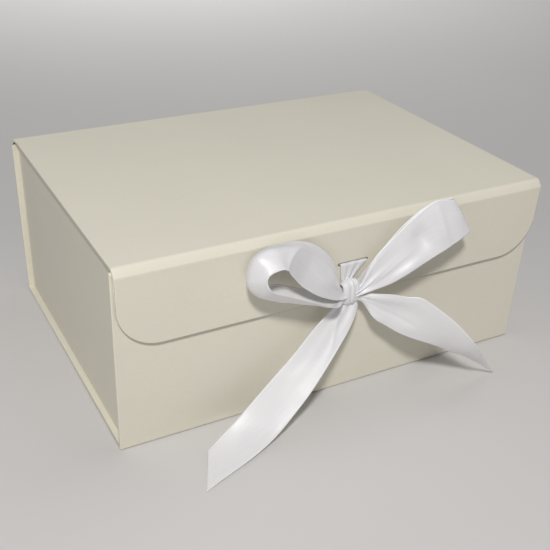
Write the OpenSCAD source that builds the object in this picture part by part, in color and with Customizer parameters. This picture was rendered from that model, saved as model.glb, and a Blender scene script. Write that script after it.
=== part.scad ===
// Wedding card box: a paper-covered greyboard box with a hinged lid, a rounded front flap
// held by hidden magnets, and a satin ribbon bow threaded through a slot in the flap.
// Axes: +X to the right, -Y to the front, +Z up; the origin is the middle of the underside.

/* [Box] */

// Width over the ends of the base
box_w = 310; // [280:1:400]
// Depth from the front wall to the back wall
box_d = 220; // [190:1:300]
// Height to the lid's top
box_h = 129; // [125:1:160]
// Distance from the base's end to the side wall's outer face
side_inset = 4.5; // [2:0.5:8]

/* [Board and paper] */

// Thickness of the greyboard
board = 2; // [1.5:0.1:2.5]
// Thickness of the covering paper
paper = 0.2; // [0.1:0.05:0.3]
// Outer radius of the paper fold at the lid's front and rear edges
fold_r = 4.9; // [4:0.1:6]
// Outer radius of the folds along the base
base_fold_r = 2; // [1:0.1:2.2]
// Strip of turned-in cover that shows around each lining
turn_in = 3; // [2:0.5:8]

/* [Lid and flap] */

// Air between the walls' rim and the lid's underside
lid_gap = 0.6; // [0.4:0.1:1.5]
// Sideways offset of the hand-folded lid on the box
lid_shift = 1.5; // [-2:0.5:2]
// Height of the flap from the lid's top to the flap's lower edge
flap_h = 54; // [50:1:60]
// Radius of the flap's lower corners
flap_r = 28; // [10:1:30]
// Air between the flap and the front wall
flap_gap = 0.6; // [0.6:0.1:1]

/* [Corner tabs] */

// Length of each tab along the front or back wall
tab_l = 30; // [20:1:45]
// Thickness of a tab, with its paper
tab_t = 1.4; // [1:0.1:2]
// Cut-off at each free corner of a tab
tab_chamfer = 14; // [4:1:18]

/* [Magnets] */

// Radius of each flap magnet and of each steel plate
magnet_r = 7.5; // [5:0.5:9]
// Thickness of a magnet
magnet_t = 1.4; // [1:0.1:1.4]
// Thickness of a steel plate
plate_t = 1; // [0.5:0.1:1.2]
// Distance of each magnet from the middle of the box
magnet_x = 95; // [60:1:110]
// Depth of the magnets below the lid's top
magnet_drop = 36; // [30:1:38]

/* [Ribbon] */

// Thickness of the ribbon's solids
ribbon_t = 0.6; // [0.4:0.1:0.8]
// Length of the slot in the flap
slot_l = 22; // [20:1:30]
// Width of the slot in the flap
slot_w = 1.6; // [1.2:0.1:2.5]
// Height of the slot above the flap's lower edge
slot_up = 24.4; // [22:0.1:28]
// Position of the slot to the right of the knot
slot_x = 4.4; // [0:0.1:6]
// Width of the knot
knot_w = 13; // [10:0.5:14]
// Height of the knot
knot_h = 17; // [14:0.5:18]
// Depth of the knot
knot_d = 9; // [7:0.5:10]

/* [Hidden] */

$fn = 96;
eps = 0.02;

xw = box_w / 2;
yd = box_d / 2;
t = board + 2 * paper;
rim_z = box_h - t - lid_gap;
fold_z = box_h - fold_r;
// The rear fold's lower part stays with the back wall, up to split_z; its upper part moves
split_z = fold_z + 2;
split_gap = 0.5;
side_x = xw - side_inset;

lid_x0 = -xw + lid_shift;
lid_x1 = xw + lid_shift;
flap_y = -yd - t - flap_gap;
lid_y0 = flap_y + fold_r;
lid_y1 = yd - fold_r;

flap_z0 = box_h - flap_h;
flap_z1 = fold_z - 0.3;
slot_z = flap_z0 + slot_up;
magnet_z = box_h - magnet_drop;

ivory = [0.88, 0.86, 0.78];
lining_ivory = [0.91, 0.90, 0.84];
grey_board = [0.55, 0.53, 0.50];
satin = [0.95, 0.95, 0.97];
steel = [0.70, 0.70, 0.72];

// Ribbon shapes as rows of points across the ribbon, measured from the middle of the
// flap's lower edge, on the flap's outer face: X to the right, Y to the back, Z up.
left_tail_rows = [
    [[-3, -6, -4], [6, -7, -4]],
    [[-18, -5, -8], [2, -11, -11]],
    [[-28, -6, -16], [-6, -14, -23]],
    [[-41, -7, -27], [-25, -19, -40.5]],
    [[-51.5, -9, -35.5], [-38, -24, -50]],
    [[-62, -11, -43.5], [-49, -27, -58]],
    [[-73, -13, -52.5], [-61, -30, -67]],
    [[-83, -15, -60], [-72.5, -32, -73]],
    [[-94, -17, -67], [-90.5, -40.5, -74]],
    [[-105.5, -22, -71.5], [-107, -48, -74.2]],
    [[-106, -22.5, -71.8], [-122, -54, -74.2]]
];

right_tail_rows = [
    [[9, -7, 3.5], [7.5, -8.5, -1]],
    [[25, -15.5, 3.5], [15, -9.5, -10.5]],
    [[35, -21, 2], [22, -13, -17.5]],
    [[43.5, -27, 1.5], [33.5, -20, -26.5]],
    [[58, -36.5, -10], [52, -26.5, -35]],
    [[67, -42.5, -19.5], [62, -28.5, -40]],
    [[75, -46.5, -29.5], [71, -29.5, -46]],
    [[84.5, -44, -41], [81.5, -30, -51.5]],
    [[95, -39, -53.5], [95, -31, -60.5]],
    [[112, -32, -73], [112.5, -31.5, -74]]
];

right_loop_rows = [
    [[8, -10, 5.5], [7, -8, 13]],
    [[23, -13, 9.7], [15, -7.5, 28]],
    [[31, -15, 14], [25, -7, 37]],
    [[42, -18, 21], [32.5, -7.5, 44]],
    [[55, -20, 28], [42.5, -8, 52.5]],
    [[68, -20, 33.5], [56, -9, 61]],
    [[80.5, -18, 38.5], [70, -10, 59.5]],
    [[80, -14, 38], [70, -6, 59]],
    [[66, -12, 33], [54.5, -4, 56]],
    [[45, -9, 21], [36, -3, 43]],
    [[25, -6, 10.5], [21, -2.2, 26.5]],
    [[8, -5, 5.5], [7, -3.5, 13]]
];

left_loop_rows = [
    [[-7, -10, 4], [-7.1, -6, 4], [-7, -3, 4]],
    [[-18, -20, 7.5], [-19, -13, 4.5], [-17, -4, 7.5]],
    [[-31, -22, 14], [-31, -14, 9.5], [-30, -4, 14.5]],
    [[-49, -25, 24], [-49, -15, 16], [-42, -4, 19.5]],
    [[-59, -25, 29], [-61, -15, 20.5], [-51, -4, 23.5]],
    [[-67, -25, 33], [-72, -15, 26], [-62, -4, 26]],
    [[-70.5, -25, 39], [-78, -15, 34], [-71, -4, 30]],
    [[-70.5, -25, 43], [-78, -15, 43], [-73.5, -4, 38]],
    [[-67, -25, 45.5], [-73, -15, 52], [-71, -4, 45]],
    [[-60, -25, 46], [-63, -15, 54.5], [-63, -4, 50]],
    [[-55, -24, 41.5], [-51, -15, 53], [-50, -4, 51.5]],
    [[-49, -23, 35], [-38, -14, 48], [-36, -4, 50]],
    [[-41, -20.5, 26], [-28, -12, 36.5], [-24, -4, 43]],
    [[-30, -17, 16.5], [-18, -10, 25], [-13, -4, 30]],
    [[-16, -13.5, 8.5], [-11, -8.5, 15], [-9, -4, 18]],
    [[-7, -11, 5.5], [-7.1, -7, 8.5], [-7, -3, 11]]
];

// A box from one corner to the opposite one
module slab(a, b) {
    translate(a) cube(b - a);
}

// A disc lying against a plane across Y, from y0 to y0 + h
module disc_y(x, y0, z, r, h) {
    translate([x, y0, z]) rotate([-90, 0, 0]) cylinder(r = r, h = h);
}

// A flat shape drawn in X and Z, as thick as from y0 to y1
module plate_y(y0, y1) {
    translate([0, y1, 0]) rotate([90, 0, 0]) linear_extrude(y1 - y0) children();
}

// A profile drawn in Y and Z, as long as from x0 to x1
module bar_x(x0, x1) {
    translate([x0, 0, 0]) rotate([90, 0, 90]) linear_extrude(x1 - x0) children();
}

// A ribbon: each row of points across it is joined to the next row
module ribbon(rows) {
    translate([0, flap_y, flap_z0])
        for (i = [0 : len(rows) - 2], j = [0 : len(rows[0]) - 2])
            hull()
                for (p = [rows[i][j], rows[i][j + 1], rows[i + 1][j], rows[i + 1][j + 1]])
                    translate(p) sphere(d = ribbon_t, $fn = 8);
}

// ---- Case: base, front and back walls ----

module base_board() {
    color(grey_board)
        slab([-xw + paper, -yd + t, paper], [xw - paper, yd - t, paper + board]);
}

module front_blank() {
    slab([-xw + paper, -yd + paper, t], [xw - paper, -yd + paper + board, rim_z - paper]);
}

module back_blank() {
    slab([-xw + paper, yd - paper - board, t], [xw - paper, yd - paper, fold_z - paper]);
}

module front_board() {
    color(grey_board) difference() {
        front_blank();
        for (s = [-1, 1])
            disc_y(s * magnet_x, -yd + paper - 1, magnet_z, magnet_r, plate_t + 1);
    }
}

module back_board() {
    color(grey_board) back_blank();
}

module steel_plates() {
    color(steel)
        for (s = [-1, 1])
            disc_y(s * magnet_x, -yd + paper, magnet_z, magnet_r, plate_t);
}

module base_window() {
    slab([-xw + turn_in, -yd + t, t - paper], [xw - turn_in, yd - t, t]);
}

module front_window() {
    slab([-xw + turn_in, -yd + t - paper, t], [xw - turn_in, -yd + t, rim_z - turn_in]);
}

module back_window() {
    slab([-xw + turn_in, yd - t, t], [xw - turn_in, yd - t + paper, fold_z - turn_in]);
}

module case_profile() {
    r = base_fold_r;
    difference() {
        union() {
            translate([-yd + r, 0]) square([box_d - 2 * r, t]);
            translate([-yd, r]) square([t, rim_z - r]);
            translate([yd - t, r]) square([t, fold_z - r]);
            for (s = [-1, 1]) translate([s * (yd - r), r]) circle(r);
        }
        translate([-yd + t, t]) square([box_d - 2 * t, box_h]);
    }
    intersection() {
        rear_fold_profile();
        translate([0, fold_z]) square([box_d, split_z - fold_z]);
    }
}

module case_wrap() {
    color(ivory) difference() {
        bar_x(-xw, xw) case_profile();
        base_board();
        front_blank();
        back_blank();
        base_window();
        front_window();
        back_window();
    }
}

module base_lining() {
    color(lining_ivory) base_window();
}

module front_lining() {
    color(lining_ivory) front_window();
}

module back_lining() {
    color(lining_ivory) back_window();
}

// ---- Side walls, standing on the base; s is -1 for the left and 1 for the right ----

module side(s) {
    if (s < 0) children(); else mirror([1, 0, 0]) children();
}

module side_blank() {
    slab([-side_x + paper, -yd + t, t], [-side_x + paper + board, yd - t, rim_z - paper]);
}

module side_window() {
    slab([-side_x + t - paper, -yd + t, t], [-side_x + t, yd - t, rim_z - turn_in]);
}

module side_wrap_blank() {
    difference() {
        slab([-side_x, -yd + t, t], [-side_x + t, yd - t, rim_z]);
        side_blank();
        side_window();
    }
}

module left_board() {
    color(grey_board) side(-1) side_blank();
}

module right_board() {
    color(grey_board) side(1) side_blank();
}

module left_wrap() {
    color(ivory) side(-1) side_wrap_blank();
}

module right_wrap() {
    color(ivory) side(1) side_wrap_blank();
}

module left_lining() {
    color(lining_ivory) side(-1) side_window();
}

module right_lining() {
    color(lining_ivory) side(1) side_window();
}

// A glue tab folded from the left wall's front edge against the front wall
module tab_blank() {
    x0 = -side_x + t;
    z0 = t + 4;
    z1 = rim_z - 10;
    plate_y(-yd + t, -yd + t + tab_t)
        polygon([
            [x0, z0], [x0 + tab_l - tab_chamfer, z0], [x0 + tab_l, z0 + tab_chamfer],
            [x0 + tab_l, z1 - tab_chamfer], [x0 + tab_l - tab_chamfer, z1], [x0, z1]
        ]);
}

module front_left_tab() {
    color(lining_ivory) tab_blank();
}

module front_right_tab() {
    color(lining_ivory) mirror([1, 0, 0]) tab_blank();
}

module back_left_tab() {
    color(lining_ivory) mirror([0, 1, 0]) tab_blank();
}

module back_right_tab() {
    color(lining_ivory) mirror([1, 0, 0]) mirror([0, 1, 0]) tab_blank();
}

// ---- Lid ----

module lid_blank() {
    slab([lid_x0 + paper, lid_y0 + paper, box_h - t + paper],
         [lid_x1 - paper, lid_y1 - paper, box_h - paper]);
}

module lid_window() {
    slab([lid_x0 + turn_in, lid_y0 + turn_in, box_h - t],
         [lid_x1 - turn_in, lid_y1 - turn_in, box_h - t + paper]);
}

module lid_board() {
    color(grey_board) lid_blank();
}

module lid_wrap() {
    color(ivory) difference() {
        slab([lid_x0, lid_y0, box_h - t], [lid_x1, lid_y1, box_h]);
        lid_blank();
        lid_window();
    }
}

module lid_lining() {
    color(lining_ivory) lid_window();
}

// Quarter of a paper tube, centred on the origin, for a fold whose corner is at the upper left
module fold_profile() {
    difference() {
        intersection() {
            circle(fold_r);
            translate([-fold_r, 0]) square(fold_r);
        }
        circle(fold_r - 2 * paper);
    }
}

module rear_fold_profile() {
    translate([lid_y1, fold_z]) mirror([1, 0]) fold_profile();
}

module rear_fold() {
    color(ivory)
        bar_x(lid_x0, lid_x1) intersection() {
            rear_fold_profile();
            translate([0, split_z + split_gap]) square([box_d, box_h]);
        }
}

module front_fold() {
    color(ivory)
        bar_x(lid_x0, lid_x1) translate([lid_y0, fold_z]) fold_profile();
}

// ---- Flap ----

module flap_shape(inset) {
    r = flap_r - inset;
    x0 = lid_x0 + inset;
    x1 = lid_x1 - inset;
    z0 = flap_z0 + inset;
    z1 = flap_z1 - inset;
    translate([x0, z0 + r]) square([x1 - x0, z1 - z0 - r]);
    translate([x0 + r, z0]) square([x1 - x0 - 2 * r, r + eps]);
    intersection() {
        for (x = [x0 + r, x1 - r]) translate([x, z0 + r]) circle(r);
        translate([x0, z0]) square([x1 - x0, r + eps]);
    }
}

module slot_cut() {
    slab([slot_x - slot_l / 2, flap_y - 1, slot_z - slot_w / 2],
         [slot_x + slot_l / 2, flap_y + t + 1, slot_z + slot_w / 2]);
}

module flap_blank() {
    plate_y(flap_y + paper, flap_y + paper + board) flap_shape(paper);
}

module flap_window() {
    plate_y(flap_y + t - paper, flap_y + t) flap_shape(turn_in);
}

module flap_board() {
    color(grey_board) difference() {
        flap_blank();
        slot_cut();
        for (s = [-1, 1])
            disc_y(s * magnet_x, flap_y + t - paper - magnet_t, magnet_z, magnet_r, magnet_t + 1);
    }
}

module flap_wrap() {
    color(ivory) difference() {
        plate_y(flap_y, flap_y + t) flap_shape(0);
        flap_blank();
        flap_window();
        slot_cut();
    }
}

module flap_lining() {
    color(lining_ivory) difference() {
        flap_window();
        slot_cut();
    }
}

module magnets() {
    color(steel)
        for (s = [-1, 1])
            disc_y(s * magnet_x, flap_y + t - paper - magnet_t, magnet_z, magnet_r, magnet_t);
}

// ---- Ribbon bow ----

// The band that passes through the slot and round the flap's lower edge, under the knot
module ribbon_band() {
    th = 0.3;
    hw = 10;
    color(satin) {
        plate_y(flap_y - th, flap_y)
            polygon([
                [slot_x - hw, slot_z + th], [slot_x + hw, slot_z + th],
                [knot_w / 2 - 2, flap_z0 + knot_h - 4], [knot_w / 2 - 2, flap_z0 - th],
                [2 - knot_w / 2, flap_z0 - th], [2 - knot_w / 2, flap_z0 + knot_h - 4]
            ]);
        slab([slot_x - hw, flap_y - eps, slot_z], [slot_x + hw, flap_y + t + eps, slot_z + th]);
        plate_y(flap_y + t, flap_y + t + th)
            polygon([
                [slot_x - hw, slot_z + th], [slot_x + hw, slot_z + th],
                [knot_w / 2 - 2, flap_z0 + 4], [knot_w / 2 - 2, flap_z0 - th],
                [2 - knot_w / 2, flap_z0 - th], [2 - knot_w / 2, flap_z0 + 4]
            ]);
        slab([2 - knot_w / 2, flap_y - eps, flap_z0 - th],
             [knot_w / 2 - 2, flap_y + t + eps, flap_z0]);
    }
}

module knot() {
    r = 3.5;
    w = knot_d;
    h = knot_h;
    color(satin)
        bar_x(-knot_w / 2, knot_w / 2) translate([flap_y - 0.4 - w, flap_z0 - 2]) {
            translate([r, 0]) square([w - 2 * r, h]);
            translate([0, r]) square([w, h - 2 * r]);
            for (a = [r, w - r], b = [r, h - r]) translate([a, b]) circle(r);
        }
}

module left_loop() {
    color(satin) ribbon(left_loop_rows);
}

module right_loop() {
    color(satin) ribbon(right_loop_rows);
}

module left_tail() {
    color(satin) ribbon(left_tail_rows);
}

module right_tail() {
    color(satin) ribbon(right_tail_rows);
}

base_board();
front_board();
back_board();
left_board();
right_board();
case_wrap();
left_wrap();
right_wrap();
base_lining();
front_lining();
back_lining();
left_lining();
right_lining();
front_left_tab();
front_right_tab();
back_left_tab();
back_right_tab();
steel_plates();
lid_board();
lid_wrap();
lid_lining();
rear_fold();
front_fold();
flap_board();
flap_wrap();
flap_lining();
magnets();
ribbon_band();
knot();
left_loop();
right_loop();
left_tail();
right_tail();
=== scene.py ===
"""Wedding card box: looks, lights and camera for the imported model.

Every length is in metres in the frame of the model: +X to the right, -Y to the front, +Z up.
MM turns the millimetres that the box is designed in into metres.
"""
from math import cos, exp, pi, radians, sin, sqrt

import bmesh
import bpy
from mathutils import Matrix, Vector, noise


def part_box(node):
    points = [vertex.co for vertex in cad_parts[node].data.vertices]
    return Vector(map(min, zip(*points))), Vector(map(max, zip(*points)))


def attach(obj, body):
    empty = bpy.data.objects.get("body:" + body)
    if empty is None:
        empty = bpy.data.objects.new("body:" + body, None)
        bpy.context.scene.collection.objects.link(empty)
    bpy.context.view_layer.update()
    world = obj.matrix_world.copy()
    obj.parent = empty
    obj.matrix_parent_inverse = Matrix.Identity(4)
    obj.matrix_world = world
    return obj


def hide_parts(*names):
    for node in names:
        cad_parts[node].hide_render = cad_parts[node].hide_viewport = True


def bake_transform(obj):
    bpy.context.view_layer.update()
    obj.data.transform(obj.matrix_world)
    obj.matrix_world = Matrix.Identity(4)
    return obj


MM = 0.001

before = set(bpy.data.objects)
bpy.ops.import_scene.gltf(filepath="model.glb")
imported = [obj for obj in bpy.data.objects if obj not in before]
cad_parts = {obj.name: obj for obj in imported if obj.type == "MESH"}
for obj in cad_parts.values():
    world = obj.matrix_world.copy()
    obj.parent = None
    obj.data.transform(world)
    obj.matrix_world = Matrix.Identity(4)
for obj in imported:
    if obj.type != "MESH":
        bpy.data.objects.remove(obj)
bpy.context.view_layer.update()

# ---- Places taken from the frame ----

case_lo, case_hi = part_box("case_wrap")
lid_lo, lid_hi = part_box("lid_wrap")
flap_lo, flap_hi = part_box("flap_wrap")
left_lo, left_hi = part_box("left_wrap")
right_lo, right_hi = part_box("right_wrap")
back_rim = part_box("back_board")[1].z
rear_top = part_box("rear_fold")[1].z
front_lo, front_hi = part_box("front_fold")
band_lo, band_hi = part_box("ribbon_band")
knot_lo, knot_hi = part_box("knot")

BOARD_T = flap_hi.y - flap_lo.y
FOLD_R = front_hi.z - front_lo.z
PAPER_T = 0.2 * MM
EDGE_R = 0.6 * MM
SIDE_EDGE_R = 0.8 * MM
FLAP_EDGE_R = 0.9 * MM
LINING_EDGE_R = 0.1 * MM
FLAP_CORNER_R = 28 * MM
BASE_FOLD_R = 2 * MM
SLOT = dict(x=(band_lo.x + band_hi.x) / 2, length=22 * MM, z=band_hi.z - 0.3 * MM, width=1.6 * MM)
# The middle of the flap's lower edge, on its outer face: the bow is laid out from here
BOW = Vector((0, flap_lo.y, flap_lo.z))


# ---- Materials ----

def start_material(name):
    """A new node material and its node tree, its links and its shader."""
    mat = bpy.data.materials.new(name)
    mat.use_nodes = True
    tree = mat.node_tree
    return mat, tree.nodes, tree.links, tree.nodes["Principled BSDF"]


def noise_node(nodes, links, vector, scale, detail, roughness=0.5):
    """Noise with that many features to the metre."""
    node = nodes.new("ShaderNodeTexNoise")
    node.inputs["Scale"].default_value = scale
    node.inputs["Detail"].default_value = detail
    node.inputs["Roughness"].default_value = roughness
    links.new(vector, node.inputs["Vector"])
    return node.outputs["Fac"]


def ramp_node(nodes, links, fac, stops):
    """A colour ramp through (position, colour) stops."""
    node = nodes.new("ShaderNodeValToRGB")
    ramp = node.color_ramp
    ramp.elements[0].position, ramp.elements[1].position = stops[0][0], stops[-1][0]
    ramp.elements[0].color, ramp.elements[1].color = (*stops[0][1], 1), (*stops[-1][1], 1)
    for position, colour in stops[1:-1]:
        ramp.elements.new(position).color = (*colour, 1)
    links.new(fac, node.inputs["Fac"])
    return node.outputs["Color"]


def multiply_node(nodes, links, a, b):
    """One colour times another."""
    node = nodes.new("ShaderNodeMix")
    node.data_type = "RGBA"
    node.blend_type = "MULTIPLY"
    node.inputs["Factor"].default_value = 1
    links.new(a, node.inputs[6])
    links.new(b, node.inputs[7])
    return node.outputs[2]


def bump_node(nodes, links, height, distance, strength=1.0, normal=None):
    """Bump of that depth in metres, over another normal if one is given."""
    node = nodes.new("ShaderNodeBump")
    node.inputs["Strength"].default_value = strength
    node.inputs["Distance"].default_value = distance
    links.new(height, node.inputs["Height"])
    if normal:
        links.new(normal, node.inputs["Normal"])
    return node.outputs["Normal"]


def shade(colour, k):
    """A colour made that many times as light."""
    return tuple(c * k for c in colour)


def paper_material(name, colour, roughness, specks):
    """Smooth paper: soft mottle, faint specks and a fine tooth."""
    mat, nodes, links, shader = start_material(name)
    place = nodes.new("ShaderNodeTexCoord").outputs["Object"]
    mottle = noise_node(nodes, links, place, 14, 3)
    tone = ramp_node(nodes, links, mottle, [(0.3, shade(colour, 0.975)), (0.7, colour)])
    grain = noise_node(nodes, links, place, 520, 4, 0.65)
    flecks = [(0.3, (1 - specks,) * 3), (0.46, (0.99, 0.99, 0.99)), (0.7, (1, 1, 1))]
    fleck = ramp_node(nodes, links, grain, flecks)
    links.new(multiply_node(nodes, links, tone, fleck), shader.inputs["Base Color"])
    tooth = noise_node(nodes, links, place, 2600, 3, 0.6)
    cast = noise_node(nodes, links, place, 60, 2)
    fine = bump_node(nodes, links, tooth, 0.03 * MM, 0.5)
    links.new(bump_node(nodes, links, cast, 0.12 * MM, 0.6, fine), shader.inputs["Normal"])
    shader.inputs["Roughness"].default_value = roughness
    shader.inputs["Specular IOR Level"].default_value = 0.4
    return mat


def greyboard_material():
    """Raw board made of waste paper: grey, with lighter and darker fibres."""
    mat, nodes, links, shader = start_material("greyboard")
    place = nodes.new("ShaderNodeTexCoord").outputs["Object"]
    pulp = noise_node(nodes, links, place, 400, 6, 0.7)
    greys = [(0.3, (0.20, 0.19, 0.17)), (0.5, (0.30, 0.28, 0.26)), (0.75, (0.40, 0.38, 0.35))]
    tone = ramp_node(nodes, links, pulp, greys)
    links.new(tone, shader.inputs["Base Color"])
    links.new(bump_node(nodes, links, pulp, 0.1 * MM), shader.inputs["Normal"])
    shader.inputs["Roughness"].default_value = 0.9
    return mat


def steel_material():
    """Nickel-plated metal with a fine brushed grain."""
    mat, nodes, links, shader = start_material("steel")
    place = nodes.new("ShaderNodeTexCoord").outputs["Object"]
    grain = noise_node(nodes, links, place, 900, 3)
    tone = ramp_node(nodes, links, grain, [(0.35, (0.50, 0.50, 0.52)), (0.65, (0.62, 0.62, 0.64))])
    links.new(tone, shader.inputs["Base Color"])
    links.new(bump_node(nodes, links, grain, 0.01 * MM), shader.inputs["Normal"])
    shader.inputs["Metallic"].default_value = 1
    shader.inputs["Roughness"].default_value = 0.35
    return mat


def selvedge_node(nodes, links, place):
    """1 on the edges of the ribbon and 0 between them, by the U of its UV map; it lightens the edges as a
    painted highlight and raises them.
    """
    apart = nodes.new("ShaderNodeSeparateXYZ")
    links.new(place, apart.inputs["Vector"])
    out = nodes.new("ShaderNodeMath")
    out.operation = "ABSOLUTE"
    links.new(apart.outputs["X"], out.inputs[0])
    mask = nodes.new("ShaderNodeMapRange")
    mask.inputs["From Min"].default_value = 11.9 * MM
    mask.inputs["From Max"].default_value = 12.3 * MM
    links.new(out.outputs["Value"], mask.inputs["Value"])
    return mask.outputs["Result"]


def satin_material():
    """White satin ribbon: threads along its length, raised selvedges with a painted highlight along them,
    and a soft gloss.

    The pieces carry a UV map in metres: U across the ribbon from its middle, V along it.
    """
    mat, nodes, links, shader = start_material("satin")
    place = nodes.new("ShaderNodeTexCoord").outputs["UV"]
    stretch = nodes.new("ShaderNodeMapping")
    stretch.inputs["Scale"].default_value = (1, 0.06, 1)
    links.new(place, stretch.inputs["Vector"])
    threads = noise_node(nodes, links, stretch.outputs["Vector"], 5200, 2)
    streaks = noise_node(nodes, links, stretch.outputs["Vector"], 900, 3)
    tone = ramp_node(nodes, links, streaks, [(0.3, (0.92, 0.91, 0.94)), (0.7, (0.96, 0.95, 0.98))])
    edge = selvedge_node(nodes, links, place)
    # painted highlight: the edges are painted lighter than the middle of the ribbon
    painted_edge_highlight = ramp_node(nodes, links, edge, [(0.4, (0.89, 0.89, 0.89)), (0.6, (1, 1, 1))])
    links.new(multiply_node(nodes, links, tone, painted_edge_highlight), shader.inputs["Base Color"])
    crumple = noise_node(nodes, links, place, 55, 2)
    soft = bump_node(nodes, links, crumple, 0.7 * MM, 0.2)
    raised = bump_node(nodes, links, edge, 0.15 * MM, 0.8, soft)
    links.new(bump_node(nodes, links, threads, 0.04 * MM, 0.12, raised), shader.inputs["Normal"])
    shader.inputs["Roughness"].default_value = 0.4
    shader.inputs["Specular IOR Level"].default_value = 0.65
    shader.inputs["Anisotropic"].default_value = 0.5
    shader.inputs["Coat Weight"].default_value = 0.3
    shader.inputs["Coat Roughness"].default_value = 0.4
    shader.inputs["Sheen Weight"].default_value = 0.12
    shader.inputs["Sheen Roughness"].default_value = 0.4
    shader.inputs["Subsurface Weight"].default_value = 0.35
    shader.inputs["Subsurface Radius"].default_value = (1, 1, 1)
    shader.inputs["Subsurface Scale"].default_value = 0.8 * MM
    return mat


def floor_material():
    """A plain light grey ground, a little cloudy."""
    mat, nodes, links, shader = start_material("floor")
    place = nodes.new("ShaderNodeTexCoord").outputs["Object"]
    cloud = noise_node(nodes, links, place, 2, 2)
    tone = ramp_node(nodes, links, cloud, [(0.3, (0.65, 0.635, 0.63)), (0.7, (0.67, 0.655, 0.65))])
    links.new(tone, shader.inputs["Base Color"])
    shader.inputs["Roughness"].default_value = 0.8
    return mat


IVORY = (0.80, 0.765, 0.65)
ivory_paper = paper_material("ivory_paper", IVORY, 0.5, 0.035)
lining_paper = paper_material("lining_paper", shade(IVORY, 1.1), 0.65, 0.03)
greyboard = greyboard_material()
steel = steel_material()
satin = satin_material()


# ---- Building pieces ----

def add_piece(name, mesh, material, nodes=()):
    """An object for a finished mesh. It stands for the CAD nodes named."""
    piece = bpy.data.objects.new(name, mesh)
    bpy.context.scene.collection.objects.link(piece)
    mesh.materials.clear()
    mesh.materials.append(material)
    if nodes:
        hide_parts(*nodes)
    return piece


def arc(centre, radius, start, end, steps=10):
    """Points of an arc in a plane, from one angle to another in degrees."""
    angles = [radians(start + (end - start) * i / steps) for i in range(steps + 1)]
    return [(centre[0] + radius * cos(a), centre[1] + radius * sin(a)) for a in angles]


def prism(outline, place, edge_r):
    """A solid with the same outline at both ends, and its outer edges rounded.

    place(point, end) gives the 3-D point at end 0 or 1. Faces under 2 square centimetres are
    shaded smooth with the rounded edges, and the panels stay flat.
    """
    bm = bmesh.new()
    ends = [[bm.verts.new(place(p, end)) for p in outline] for end in (0, 1)]
    count = len(outline)
    bm.faces.new(ends[0])
    bm.faces.new(reversed(ends[1]))
    for i in range(count):
        j = (i + 1) % count
        bm.faces.new((ends[0][j], ends[0][i], ends[1][i], ends[1][j]))
    bmesh.ops.recalc_face_normals(bm, faces=bm.faces)
    corners = [e for e in bm.edges if e.is_convex and e.calc_face_angle(0) > radians(30)]
    made = bmesh.ops.bevel(bm, geom=corners, offset=edge_r, segments=4, profile=0.5, affect="EDGES")
    for face in bm.faces:
        face.smooth = face in made["faces"] or face.calc_area() < 200 * MM * MM
    mesh = bpy.data.meshes.new("prism")
    bm.to_mesh(mesh)
    bm.free()
    return mesh


def slab(lo, hi, edge_r):
    """A box with rounded edges."""
    outline = [(lo.y, lo.z), (hi.y, lo.z), (hi.y, hi.z), (lo.y, hi.z)]
    return prism(outline, lambda p, end: Vector(((lo.x, hi.x)[end], *p)), edge_r)


def grid_mesh(rows, uv=None, thickness=0.0):
    """A sheet through rows of points, smooth, made solid by that thickness."""
    mesh = bpy.data.meshes.new("sheet")
    across = len(rows[0])
    verts = [p for row in rows for p in row]
    faces = [
        (r * across + c, r * across + c + 1, (r + 1) * across + c + 1, (r + 1) * across + c)
        for r in range(len(rows) - 1) for c in range(across - 1)
    ]
    mesh.from_pydata(verts, [], faces)
    if uv:
        layer = mesh.uv_layers.new(name="UVMap")
        flat = [q for row in uv for q in row]
        for loop in mesh.loops:
            layer.data[loop.index].uv = flat[loop.vertex_index]
    mesh.polygons.foreach_set("use_smooth", [True] * len(mesh.polygons))
    if thickness:
        carrier = bpy.data.objects.new("carrier", mesh)
        bpy.context.scene.collection.objects.link(carrier)
        solid = carrier.modifiers.new("solid", "SOLIDIFY")
        solid.thickness = thickness
        solid.offset = 0
        solid.use_even_offset = True
        bpy.context.view_layer.update()
        made = carrier.evaluated_get(bpy.context.evaluated_depsgraph_get())
        result = bpy.data.meshes.new_from_object(made)
        bpy.data.objects.remove(carrier)
        return result
    return mesh


# ---- Case ----

def case_cover():
    """Base, front wall and back wall: three boards under one sheet, folded along the base."""
    t, r = BOARD_T, BASE_FOLD_R
    y0, y1, rim, back_top = case_lo.y, case_hi.y, case_hi.z, back_rim + PAPER_T
    outline = [(y0, rim), *arc((y0 + r, r), r, 180, 270), *arc((y1 - r, r), r, 270, 360)]
    outline += [(y1, back_top), (y1 - t, back_top), (y1 - t, t), (y0 + t, t), (y0 + t, rim)]
    mesh = prism(outline, lambda p, end: Vector(((case_lo.x, case_hi.x)[end], *p)), EDGE_R)
    return add_piece("case_cover", mesh, ivory_paper, ["case_wrap"])


def side_cover(side, lo, hi):
    """A side wall's board under a cover of its own."""
    mesh = slab(lo, hi, SIDE_EDGE_R)
    return add_piece(f"{side}_cover", mesh, ivory_paper, [f"{side}_wrap"])


def lining(node, body, lo, hi):
    """A lining sheet, glued over the turned-in cover."""
    piece = add_piece(f"{node}_sheet", slab(lo, hi, LINING_EDGE_R), lining_paper, [node])
    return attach(piece, body)


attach(case_cover(), "tray")
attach(side_cover("left", left_lo, left_hi), "tray")
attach(side_cover("right", right_lo, right_hi), "tray")


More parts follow.
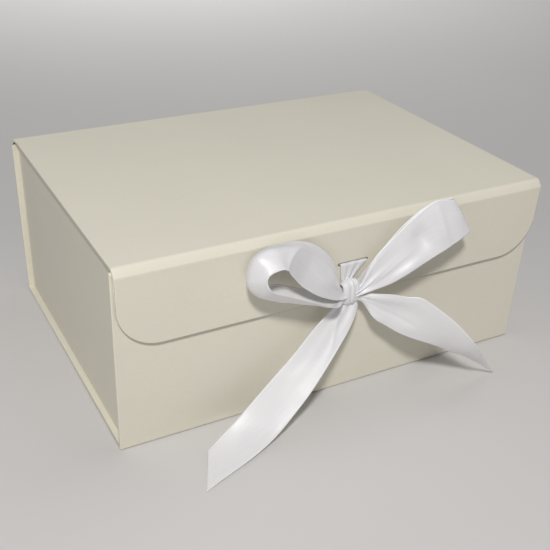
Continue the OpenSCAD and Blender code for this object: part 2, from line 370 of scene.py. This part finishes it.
def wall_linings():
    """Linings of the base and the four walls, a sheet's thickness proud of them."""
    x0, x1 = left_hi.x, right_lo.x
    y0, y1 = left_lo.y, left_hi.y
    floor_z, proud, margin, sunk = BOARD_T, PAPER_T, 0.4 * MM, 0.3 * MM
    corner_gap = 2 * MM
    top, back_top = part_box("front_lining")[1].z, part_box("back_lining")[1].z
    lining("base_lining", "tray", Vector((x0 + margin, y0 + margin, floor_z - sunk)),
           Vector((x1 - margin, y1 - margin, floor_z + proud)))
    lining("front_lining", "tray", Vector((x0 + margin, y0 - sunk, floor_z + margin)),
           Vector((x1 - margin, y0 + proud, top)))
    lining("back_lining", "tray", Vector((x0 + margin, y1 - proud, floor_z + margin)),
           Vector((x1 - margin, y1 + sunk, back_top)))
    lining("left_lining", "tray", Vector((x0 - sunk, y0 + corner_gap, floor_z + margin)),
           Vector((x0 + proud, y1 - corner_gap, top)))
    lining("right_lining", "tray", Vector((x1 - proud, y0 + corner_gap, floor_z + margin)),
           Vector((x1 + sunk, y1 - corner_gap, top)))


wall_linings()


# ---- Lid, flap and the two paper folds ----

def lid_cover():
    """The lid's board under the cover paper."""
    mesh = slab(lid_lo, lid_hi, EDGE_R)
    return add_piece("lid_cover", mesh, ivory_paper, ["lid_wrap"])


def flap_panel(inset, y0, y1, edge_r):
    """The flap's outline, with its round lower corners and its slot, as a plate across Y."""
    x0, x1 = flap_lo.x + inset + edge_r, flap_hi.x - inset - edge_r
    z0, z1 = flap_lo.z + inset + edge_r, flap_hi.z - inset - edge_r
    r = FLAP_CORNER_R - inset - edge_r
    outer = [(x0, z1), *arc((x0 + r, z0 + r), r, 180, 270, 24)]
    outer += [*arc((x1 - r, z0 + r), r, 270, 360, 24), (x1, z1)]
    half_l, half_w = SLOT["length"] / 2 + edge_r, SLOT["width"] / 2 + edge_r
    ends = [
        arc((SLOT["x"] + half_l - half_w, SLOT["z"]), half_w, -90, 90),
        arc((SLOT["x"] - half_l + half_w, SLOT["z"]), half_w, 90, 270),
    ]
    curve = bpy.data.curves.new("flap", "CURVE")
    curve.dimensions = "2D"
    curve.fill_mode = "BOTH"
    curve.extrude = (y1 - y0) / 2 - edge_r
    curve.bevel_depth = edge_r
    curve.bevel_resolution = 3
    for points in (outer, ends[0] + ends[1]):
        spline = curve.splines.new("POLY")
        spline.points.add(len(points) - 1)
        for spot, p in zip(spline.points, points):
            spot.co = (*p, 0, 1)
        spline.use_cyclic_u = True
    carrier = bpy.data.objects.new("flap", curve)
    bpy.context.scene.collection.objects.link(carrier)
    bpy.context.view_layer.update()
    mesh = bpy.data.meshes.new_from_object(carrier.evaluated_get(bpy.context.evaluated_depsgraph_get()))
    bpy.data.objects.remove(carrier)
    mesh.transform(Matrix.Translation((0, (y0 + y1) / 2, 0)) @ Matrix.Rotation(pi / 2, 4, "X"))
    for face in mesh.polygons:
        face.use_smooth = abs(face.normal.y) < 0.999
    return mesh


def flap_cover():
    """The flap's board under the cover paper."""
    mesh = flap_panel(0, flap_lo.y, flap_hi.y, FLAP_EDGE_R)
    return add_piece("flap_cover", mesh, ivory_paper, ["flap_wrap"])


def fold_path(flip, flat):
    """A fold's path from one panel to the other: (y, z) from its centre and its offset outwards.

    It dips into each panel at its laps, and stands a little proud of them along the bend.
    """
    lap, proud, sunk, lap_steps, bend_steps = 7 * MM, 0.05 * MM, 0.2 * MM, 8, 16
    path = []
    for i in range(lap_steps):
        s = 1 - i / lap_steps
        out = proud - (proud + sunk) * s * s
        path.append((flip * (FOLD_R + out), -lap * s, out))
    for i in range(bend_steps + 1):
        t = i / bend_steps
        a, r, m = pi / 2 * t, FOLD_R + proud, flat * (1 - t * t)
        path.append((flip * r * ((1 - m) * cos(a) + m * (1 - t)), r * ((1 - m) * sin(a) + m * t), proud))
    for i in range(1, lap_steps + 1):
        s = i / lap_steps
        out = proud - (proud + sunk) * s * s
        path.append((-flip * lap * s, FOLD_R + out, out))
    return path


def inward_of(flip, dy, dz):
    """Unit vector from a fold's surface at that place towards the inside of the fold."""
    if dz <= 0:
        return Vector((0, -flip, 0))
    if flip * dy <= 0:
        return Vector((0, 0, -1))
    return -Vector((0, dy, dz)).normalized()


def fold_strip(name, centre, flip, a_x, b_x, nodes, flat=0.0):
    """The cover paper where it bends round a hinge, from one panel to the other.

    centre is the fold's (y, z); flip is -1 for the front fold and 1 for the rear one. a_x and b_x
    are the panels' ends, because the lid sits a little to one side. flat is how far the bend
    nears a straight strip with a crisp lower edge, 0 to 1.
    """
    turn_angles = [radians(a) for a in (0, 22.5, 45, 67.5, 90)]
    turn = [(EDGE_R * (1 - cos(a)), EDGE_R * (1 - sin(a))) for a in turn_angles]
    spans, web_low, web_more = 40, 1.6 * MM, 1.4 * MM
    path = fold_path(flip, flat)
    rows = []
    for k, (dy, dz, out) in enumerate(path):
        along = k / (len(path) - 1)
        x0 = a_x[0] + (b_x[0] - a_x[0]) * along - out
        x1 = a_x[1] + (b_x[1] - a_x[1]) * along + out
        inward = inward_of(flip, dy, dz)
        surface = Vector((0, centre[0] + dy, centre[1] + dz))
        # the paper turned in at both ends, deeper along the bend, which it closes there
        bend = min(max(along * 2 - 0.5, 0), 1)
        web = web_low + web_more * min(1, 5 * min(bend, 1 - bend))
        turned = [(0, web), *turn]
        row = [surface + inward * depth + Vector((x0 + dx, 0, 0)) for dx, depth in turned]
        for i in range(1, spans):
            row.append(surface + Vector((x0 + EDGE_R + (x1 - x0 - 2 * EDGE_R) * i / spans, 0, 0)))
        row += [surface + inward * depth + Vector((x1 - dx, 0, 0)) for dx, depth in reversed(turned)]
        rows.append(row)
    piece = add_piece(name, grid_mesh(rows), ivory_paper, nodes)
    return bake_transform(piece)


def panel_linings():
    """Linings of the lid and the flap: thin sheets partly sunk into the boards."""
    lo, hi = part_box("lid_lining")
    lining("lid_lining", "lid", lo - Vector((0, 0, 0.12 * MM)), hi + Vector((0, 0, 0.2 * MM)))
    mesh = flap_panel(3 * MM, flap_hi.y - 0.4 * MM, flap_hi.y + 0.1 * MM, LINING_EDGE_R)
    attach(add_piece("flap_lining_sheet", mesh, lining_paper, ["flap_lining"]), "flap")


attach(lid_cover(), "lid")
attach(flap_cover(), "flap")
fold_strip("rear_hinge_paper", (lid_hi.y, rear_top - FOLD_R), 1,
           (case_lo.x, case_hi.x), (lid_lo.x, lid_hi.x), ["rear_fold"])
fold_strip("front_hinge_paper", (lid_lo.y, front_hi.z - FOLD_R), -1,
           (lid_lo.x, lid_hi.x), (lid_lo.x, lid_hi.x), ["front_fold"], flat=0.7)

panel_linings()


# ---- Ribbon bow ----

RIBBON_T = 0.25 * MM
RIBBON_W = 26 * MM


def catmull(points, per_span):
    """A smooth curve through points, with that many steps between each two."""
    ends = [2 * points[0] - points[1], *points, 2 * points[-1] - points[-2]]
    curve = []
    for i in range(len(points) - 1):
        p0, p1, p2, p3 = ends[i:i + 4]
        for k in range(per_span):
            t = k / per_span
            curve.append(
                0.5 * (2 * p1 + (p2 - p0) * t + (2 * p0 - 5 * p1 + 4 * p2 - p3) * t * t
                       + (3 * p1 - p0 - 3 * p2 + p3) * t * t * t)
            )
    curve.append(points[-1].copy())
    return curve


def crease_lift(length, f, crease):
    """How far a crease lifts a point of the ribbon: a sharp ridge along a line, fading at its ends."""
    (v0, f0), (v1, f1), high, wide = crease
    run = Vector((v1 - v0, (f1 - f0) * RIBBON_W / MM))
    off = Vector((length - v0, (f - f0) * RIBBON_W / MM))
    s = off.dot(run) / run.length_squared
    apart = abs(off.cross(run)) / run.length
    return high * exp(-apart / wide) * exp(-(2 * s - 1) ** 4 / 1.5)


def ribbon_sheet(stations, cup=0.0, pleats=(), dents=(), creases=(), crumple=0.25, per_span=10, across=28):
    """A ribbon through stations: rows of two or three points across it, in mm from BOW.

    cup is how far its middle stands off the line between its edges, in mm. pleats are
    (depth in mm, folds across the width, reach in mm along the ribbon, phase) from its first end.
    dents are (mm along, 0 to 1 across, mm long, share wide, mm high). creases are ((mm along,
    0 to 1 across) at both ends, mm high, mm wide). crumple is in mm.
    Returns the mesh, and the ribbon's mean width and length.
    """
    columns = len(stations[0])
    tracks = [catmull([Vector(row[c]) for row in stations], per_span) for c in range(columns)]
    rows, uv, widths, length = [], [], [], 0.0
    for k in range(len(tracks[0])):
        cross = [track[k] for track in tracks]
        line = catmull(cross, across // (columns - 1))
        middle = line[len(line) // 2]
        if k:
            length += (middle - before).length
        before = middle
        a, b = max(k - 1, 0), min(k + 1, len(tracks[0]) - 1)
        along = (sum((t[b] - t[a] for t in tracks), Vector())).normalized()
        width = sum((line[i + 1] - line[i]).length for i in range(len(line) - 1))
        widths.append(width)
        row, uv_row = [], []
        for i, point in enumerate(line):
            f = i / (len(line) - 1)
            side = line[min(i + 1, len(line) - 1)] - line[max(i - 1, 0)]
            normal = along.cross(side).normalized()
            lift = cup * 4 * f * (1 - f)
            for depth, folds, reach, phase in pleats:
                lift += depth * exp(-length / reach) * cos(2 * pi * folds * (f - 0.5) + phase)
            for at, over, long, wide, high in dents:
                lift += high * exp(-((length - at) / long) ** 2 - ((f - over) / wide) ** 2)
            lift += sum(crease_lift(length, f, crease) for crease in creases)
            lift += crumple * noise.noise(Vector((f * 2.4, length / 11, len(stations))))
            row.append((point + normal * lift) * MM + BOW)
            uv_row.append(((f - 0.5) * RIBBON_W, length * MM))
        rows.append(row)
        uv.append(uv_row)
    mesh = grid_mesh(rows, uv, RIBBON_T)
    return mesh, sum(widths) / len(widths) * MM, length * MM


def ribbon_piece(name, node, stations, held, rests_on, **shape):
    """A length of the bow's ribbon, which stands for that CAD node and rides on the flap."""
    mesh, width, length = ribbon_sheet(stations, **shape)
    piece = add_piece(name, mesh, satin, [node])
    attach(piece, "flap")
    return piece


# The ribbon's rows: the points across it, in mm from BOW, from the knot outwards.
# The right loop goes out in front and comes back behind; the left one goes out below and comes
# back above.

LEFT_TAIL = [
    [(-3, -4.5, 3), (4.5, -6, 3)],
    [(-11, -5, -2.5), (6.5, -7, -5.5)],
    [(-19, -5.5, -9), (0.5, -11, -14.5)],
    [(-28, -6, -17.5), (-9, -15, -24.5)],
    [(-39, -7.5, -28), (-23.5, -20.5, -38)],
    [(-50, -9.5, -36), (-37, -25.5, -49)],
    [(-61, -11.5, -44), (-49.5, -28.5, -59)],
    [(-72, -13.5, -52), (-61.5, -31.5, -67.5)],
    [(-83, -16, -59.5), (-74, -35.5, -72)],
    [(-93.5, -18.5, -65.5), (-89, -41, -73.5)],
    [(-102, -21, -69.5), (-105, -46.5, -74)],
    [(-107, -22.5, -72), (-122, -53, -74.2)],
]
RIGHT_TAIL = [
    [(2, -5.5, 4), (2, -7, 0.5)],
    [(9, -7, 3.5), (7.5, -8.5, -1)],
    [(25, -15.5, 3.5), (15, -9.5, -10.5)],
    [(35, -21, 2), (22, -13, -17.5)],
    [(43.5, -27, 1.5), (33.5, -20, -26.5)],
    [(58, -36.5, -10), (52, -26.5, -35)],
    [(67, -42.5, -19.5), (62, -28.5, -40)],
    [(75, -46.5, -29.5), (71, -29.5, -46)],
    [(84.5, -44, -41), (81.5, -30, -51.5)],
    [(95, -39, -53.5), (95, -31, -60.5)],
    [(112, -32, -73), (112.5, -31.5, -74)],
]
RIGHT_LOOP = [
    [(2, -8.6, 4), (2, -7.4, 9)],
    [(8, -10, 5.5), (7, -8, 13)],
    [(23, -13, 9.7), (15, -7.5, 28)],
    [(31, -15, 14), (25, -7, 37)],
    [(42, -18, 21), (32.5, -7.5, 44)],
    [(55, -20, 28), (42.5, -8, 52.5)],
    [(68, -20, 33.5), (56, -9, 61)],
    [(80.5, -18, 38.5), (70, -10, 59.5)],
    [(80, -14, 38), (70, -6, 59)],
    [(66, -12, 33), (54.5, -4, 56)],
    [(45, -9, 21), (36, -3, 43)],
    [(25, -6, 10.5), (21, -2.2, 26.5)],
    [(8, -5, 5.5), (7, -3.5, 13)],
    [(2, -4.6, 4), (2, -3.8, 9)],
]
LEFT_LOOP = [
    [(-2, -8, 3.6), (-2, -6, 3), (-2, -4, 3.6)],
    [(-7, -10, 4), (-7.1, -6, 4), (-7, -3, 4)],
    [(-18, -20, 7.5), (-19, -13, 4.5), (-17, -4, 7.5)],
    [(-31, -22, 14), (-31, -14, 9.5), (-30, -4, 14.5)],
    [(-49, -25, 24), (-49, -15, 16), (-42, -4, 19.5)],
    [(-59, -25, 29), (-61, -15, 20.5), (-51, -4, 23.5)],
    [(-67, -25, 33), (-72, -15, 26), (-62, -4, 26)],
    [(-70.5, -25, 39), (-78, -15, 34), (-71, -4, 30)],
    [(-70.5, -25, 43), (-78, -15, 43), (-73.5, -4, 38)],
    [(-67, -25, 45.5), (-73, -15, 52), (-71, -4, 45)],
    [(-60, -25, 46), (-63, -15, 54.5), (-63, -4, 50)],
    [(-55, -24, 41.5), (-51, -15, 53), (-50, -4, 51.5)],
    [(-49, -23, 35), (-38, -14, 48), (-36, -4, 50)],
    [(-41, -20.5, 26), (-28, -12, 36.5), (-24, -4, 43)],
    [(-30, -17, 16.5), (-18, -10, 25), (-13, -4, 30)],
    [(-16, -13.5, 8.5), (-11, -8.5, 15), (-9, -4, 18)],
    [(-7, -11, 5.5), (-7.1, -7, 8.5), (-7, -3, 11)],
    [(-2, -8.5, 5), (-2, -6.5, 7), (-2, -4, 8.6)],
]

ribbon_piece("bow_left_tail", "left_tail", LEFT_TAIL, "laid", ["knot"], cup=-0.3, crumple=0.12,
             pleats=[(0.7, 2.5, 20, 0.6)], creases=[((8, 0.3), (36, 0.8), 0.9, 1.4)])
ribbon_piece("bow_right_tail", "right_tail", RIGHT_TAIL, "hung", ["knot"], cup=-0.6,
             pleats=[(0.8, 2, 18, 0)],
             dents=[(25, 1.0, 9, 0.24, -4), (38, 0.45, 12, 0.3, 2.2), (100, 0.4, 22, 0.4, -1.0)],
             creases=[((8, 0.7), (44, 0.68), 1.4, 1.8)])
ribbon_piece("bow_right_loop", "right_loop", RIGHT_LOOP, "folded", ["knot"], cup=0.3,
             pleats=[(1.2, 2.6, 17, 0.4), (0.5, 4.5, 14, 1)],
             dents=[(55, 0.5, 6, 0.24, -3.2), (65, 0.35, 4.5, 0.34, 1.5), (36, 0.08, 14, 0.16, 2.4),
                    (79, 0.35, 8, 0.4, 1.6)],
             creases=[((12, 0.32), (42, 0.4), 1.2, 1.6), ((69, 0.1), (74, 0.95), 1.2, 1.8)])
ribbon_piece("bow_left_loop", "left_loop", LEFT_LOOP, "folded", ["knot"], cup=0.0,
             pleats=[(0.6, 2, 16, 0)],
             dents=[(146, 0.35, 15, 0.5, -3.0), (176, 0.5, 10, 0.4, 1.8), (116, 0.3, 7, 0.5, 0.8)],
             creases=[((121, -0.05), (141, 0.75), 1.3, 2.2), ((160, 0.3), (198, 0.4), 1.2, 1.5),
                      ((168, 0.7), (198, 0.62), -1.0, 1.4)])


def band_stations():
    """From the knot up to the slot, through the flap, down its back and under its edge to the knot."""
    t = BOARD_T / MM
    slot_x, slot_z = SLOT["x"] / MM, (SLOT["z"] - BOW.z) / MM
    behind = t + 0.22
    route = [  # x of the middle, half width, y, z
        (0, 3.5, -1.6, 9), (0.2, 4.2, -1.4, 13), (1.5, 6, -1.2, 17), (3, 8, -1.1, 21),
        (slot_x, 9.6, -0.9, 24), (slot_x, 10, 0.4, slot_z + 0.3),
        (slot_x, 10, t - 0.3, slot_z + 0.1), (slot_x, 10, behind, slot_z - 1.5),
        (3, 9, behind, 18), (1, 7, behind, 10), (0, 5, behind, 3), (0, 4.6, t + 0.1, 0.1),
        (0, 4.4, t / 2, -0.3), (0, 4.4, 0.2, -0.2), (0, 4.2, -0.8, 1.2), (0, 4, -1.4, 4),
    ]
    return [[(x - w, y, z), (x + w, y, z)] for x, w, y, z in route]


ribbon_piece("bow_band", "ribbon_band", band_stations(), "gathered", ["flap_cover"],
             pleats=[(0.5, 3, 14, pi)])


def knot_piece():
    """The knot: ribbon wound round the bow's middle, gathered into pleats that run up and down."""
    centre = (knot_lo + knot_hi) / 2
    half = (knot_hi - knot_lo) / 2
    rows, uv = [], []
    steps, around = 48, 96
    for i in range(steps + 1):
        s = -1 + 2 * i / steps
        barrel = 1 - 0.10 * s * s - 0.22 * abs(s) ** 6
        row, uv_row = [], []
        for k in range(around + 1):
            a = 2 * pi * k / around
            fold = (0.42 * sin(3.3 * pi * s + 1.1 * sin(a) + 0.5)
                    + 0.22 * sin(6.4 * pi * s - 0.9 * sin(a + 0.6) + 1.3)) * (1 - s * s) * MM
            power = 0.75
            y = half.y * (abs(cos(a)) ** power) * (1 if cos(a) >= 0 else -1) * barrel
            z = half.z * (abs(sin(a)) ** power) * (1 if sin(a) >= 0 else -1) * barrel
            out = Vector((0, y, z)).normalized()
            row.append(centre + Vector((half.x * s, y, z)) * 0.98 + out * fold)
            uv_row.append((half.x * s, a / (2 * pi) * 4 * (half.y + half.z)))
        rows.append(row)
        uv.append(uv_row)
    mesh = grid_mesh(rows, uv, RIBBON_T)
    piece = add_piece("bow_knot", mesh, satin, ["knot"])
    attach(piece, "flap")
    # one turn of the ribbon, gathered; its length is about that of an ellipse's outline
    return piece


knot_piece()


# ---- CAD nodes that show or are hidden as they are ----

for name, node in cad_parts.items():
    if name.endswith("_board"):
        material = greyboard
    elif name in ("magnets", "steel_plates"):
        material = steel
    elif name.endswith("_tab"):
        material = ivory_paper
    else:
        continue
    node.data.materials.clear()
    node.data.materials.append(material)


# ---- Floor, lights and camera ----

def add_floor():
    mesh = bpy.data.meshes.new("floor")
    s = 4.0
    mesh.from_pydata([(-s, -s, 0), (s, -s, 0), (s, s, 0), (-s, s, 0)], [], [(0, 1, 2, 3)])
    mesh.materials.append(floor_material())
    floor = bpy.data.objects.new("floor", mesh)
    bpy.context.scene.collection.objects.link(floor)


def add_light(name, at, towards, size, power, colour=(1, 1, 1)):
    light = bpy.data.lights.new(name, "AREA")
    light.shape = "DISK"
    light.size = size
    light.energy = power
    light.color = colour
    lamp = bpy.data.objects.new(name, light)
    lamp.location = at
    lamp.rotation_euler = (Vector(towards) - Vector(at)).to_track_quat("-Z", "Y").to_euler()
    bpy.context.scene.collection.objects.link(lamp)


def add_world(colour, strength):
    world = bpy.data.worlds.new("studio")
    world.use_nodes = True
    world.node_tree.nodes["Background"].inputs["Color"].default_value = (*colour, 1)
    world.node_tree.nodes["Background"].inputs["Strength"].default_value = strength
    bpy.context.scene.world = world


def add_camera():
    """The view: from the left front, looking down, with a slight roll and shift."""
    at = Vector((-0.2775, -0.5081, 0.3605))
    towards = Vector((0.4069, 0.7604, -0.5062)).normalized()
    level = towards.cross(Vector((0, 0, 1))).normalized()
    above = level.cross(towards)
    roll = radians(1.78)
    right = level * cos(roll) + above * sin(roll)
    up = right.cross(towards)
    data = bpy.data.cameras.new("camera")
    data.sensor_width = 36
    data.lens = 56.45
    data.shift_x = 0.0375
    data.shift_y = 0.0236
    data.clip_start = 0.01
    camera = bpy.data.objects.new("camera", data)
    camera.matrix_world = Matrix((
        (right.x, up.x, -towards.x, at.x),
        (right.y, up.y, -towards.y, at.y),
        (right.z, up.z, -towards.z, at.z),
        (0, 0, 0, 1),
    ))
    bpy.context.scene.collection.objects.link(camera)
    bpy.context.scene.camera = camera


add_floor()
add_world((0.99, 0.99, 1.0), 0.22)
add_light("key", (-0.54, -0.90, 1.13), (0, 0, 0.05), 0.16, 13, (1, 0.99, 0.97))
add_light("fill", (0.4, 0.3, 1.7), (0, 0, 0.05), 1.4, 4, (1, 0.99, 0.99))
add_light("backdrop", (0.4, 1.3, 1.2), (0.9, 2.4, 0), 1.2, 16)
add_camera()
bpy.context.scene.view_settings.view_transform = "Standard"
